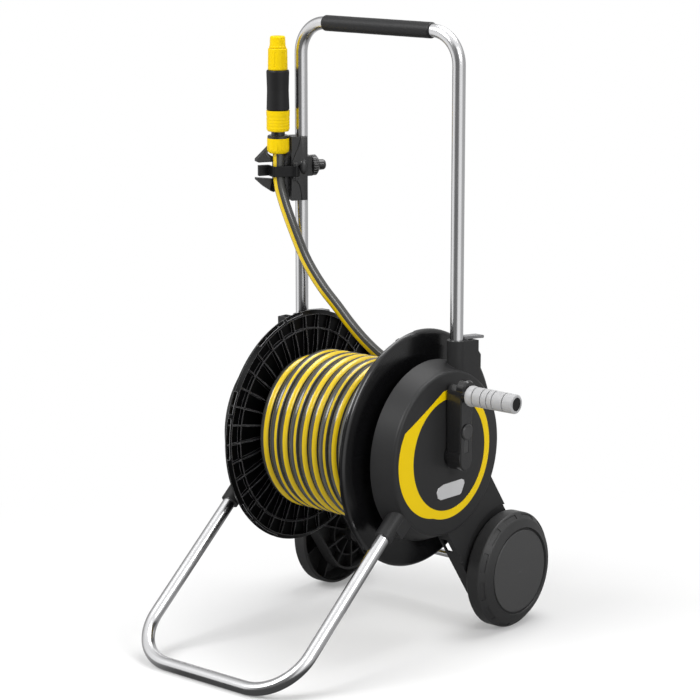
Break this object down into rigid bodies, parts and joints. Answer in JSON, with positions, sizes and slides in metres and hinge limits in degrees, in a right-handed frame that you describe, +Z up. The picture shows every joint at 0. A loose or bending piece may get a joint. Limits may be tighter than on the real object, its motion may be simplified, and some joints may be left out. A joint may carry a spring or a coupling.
{
  "type": "hose reel cart",
  "caption": "Garden hose reel cart with crank, sliding push handle, tube foot, wheels, a wound striped hose and a parked spray nozzle.",
  "frame": {"origin": "on the floor, under the middle of the bounding box", "axes": "+X along the drum axis towards the crank, +Y towards the wheels, +Z up"},
  "size_m": [0.4496, 0.5404, 0.847],
  "materials": {
    "plastic": "moulded satin black",
    "gloss": "smooth gloss black",
    "yellow": "smooth yellow",
    "light_grey": "fine matt light grey",
    "tube": "satin drawn tube",
    "steel": "plain zinc-plated",
    "badge": "bare satin plate",
    "rubber": "soft matt black",
    "foam": "smooth satin black sleeve",
    "hose": "smooth grey hose with yellow stripes"
  },
  "bodies": {
    "frame": {"side_plate_left": "plastic", "side_plate_right": "plastic", "ring_inlay": "yellow", "badge_plate": "badge", "foot_tube": "tube", "foot_screws": "steel", "wheel_axle": "steel", "axle_clips": "steel", "drive_bush": "light_grey", "inlet_hub": "plastic", "hub_nut": "plastic", "hub_seals": "rubber", "latch_pins": "steel", "latch_springs": "steel", "hose_span": "hose"},
    "drum": {"drum_barrel": "plastic", "flange_left": "plastic", "flange_right": "plastic", "flange_screws": "steel", "drive_shaft": "steel", "drum_inlet": "plastic", "tail_nut": "yellow", "crank_arm": "gloss", "crank_screw": "steel", "grip_spindle": "steel", "hose_coil": "hose"},
    "slider": {"crank_slider": "plastic"},
    "grip": {"crank_grip": "light_grey", "grip_cap": "plastic"},
    "left_wheel": {"wheel_left": "plastic", "wheel_disc_left": "plastic"},
    "right_wheel": {"wheel_right": "plastic", "wheel_disc_right": "plastic"},
    "handle": {"handle_tube": "tube", "handle_sleeve": "foam", "tube_plugs": "plastic"},
    "left_latch": {"latch_left": "light_grey"},
    "right_latch": {"latch_right": "light_grey"},
    "holder": {"holder_body": "plastic", "gate_pin": "steel", "nozzle_body": "rubber", "connector_body": "gloss", "connector_nut": "yellow"},
    "gate": {"hose_gate": "gloss"},
    "knob": {"clamp_knob": "gloss", "clamp_stud": "steel"},
    "head": {"nozzle_head": "yellow", "nozzle_tip": "yellow"},
    "collar": {"connector_collar": "yellow"},
    "elbow": {"inlet_elbow": "plastic"}
  },
  "joints": [
    {"name": "drum_spin", "type": "hinge", "parent": "frame", "child": "drum", "pos_m": [-0.04329, 0.05575, 0.273], "axis": [1, 0, 0], "continuous": true},
    {"name": "grip_spin", "type": "hinge", "parent": "drum", "child": "grip", "pos_m": [-0.04329, 0.05575, 0.359], "axis": [1, 0, 0], "continuous": true},
    {"name": "lock_slide", "type": "slide", "parent": "drum", "child": "slider", "axis": [0, 0, 1], "range_m": [0, 0.01]},
    {"name": "left_wheel_spin", "type": "hinge", "parent": "frame", "child": "left_wheel", "pos_m": [-0.04329, 0.18825, 0.082], "axis": [1, 0, 0], "continuous": true},
    {"name": "right_wheel_spin", "type": "hinge", "parent": "frame", "child": "right_wheel", "pos_m": [-0.04329, 0.18825, 0.082], "axis": [1, 0, 0], "continuous": true},
    {"name": "handle_slide", "type": "slide", "parent": "frame", "child": "handle", "axis": [0, 0, 1], "range_m": [-0.12, 0], "deforming": ["hose_span"]},
    {"name": "left_latch_lift", "type": "hinge", "parent": "frame", "child": "left_latch", "pos_m": [-0.18229, 0.10825, 0.418], "axis": [1, 0, 0], "range_deg": [0, 14], "stiffness_Nm_per_rad": 0.02, "springref_deg": -14.32},
    {"name": "right_latch_lift", "type": "hinge", "parent": "frame", "child": "right_latch", "pos_m": [0.09571, 0.10825, 0.418], "axis": [1, 0, 0], "range_deg": [0, 14], "stiffness_Nm_per_rad": 0.02, "springref_deg": -14.32},
    {"name": "holder_slide", "type": "slide", "parent": "handle", "child": "holder", "axis": [0, 0, 1], "range_m": [-0.03, 0.05], "deforming": ["hose_span"]},
    {"name": "gate_swing", "type": "hinge", "parent": "holder", "child": "gate", "pos_m": [-0.17541, 0.07217, 0.632], "axis": [0, 0, 1], "range_deg": [0, 95]},
    {"name": "knob_turn", "type": "hinge", "parent": "holder", "child": "knob", "pos_m": [-0.176, 0.10408, 0.6345], "axis": [0.4695, 0.8829, 0], "range_deg": [0, 360]},
    {"name": "head_turn", "type": "hinge", "parent": "holder", "child": "head", "pos_m": [-0.19858, 0.06161, 0.76], "axis": [0, 0, 1], "range_deg": [0, 270]},
    {"name": "collar_pull", "type": "slide", "parent": "holder", "child": "collar", "axis": [0, 0, -1], "range_m": [0, 0.005], "stiffness_N_per_m": 800, "springref_m": -0.002},
    {"name": "inlet_swivel", "type": "hinge", "parent": "frame", "child": "elbow", "pos_m": [-0.21029, 0.05575, 0.273], "axis": [1, 0, 0], "continuous": true}
  ]
}
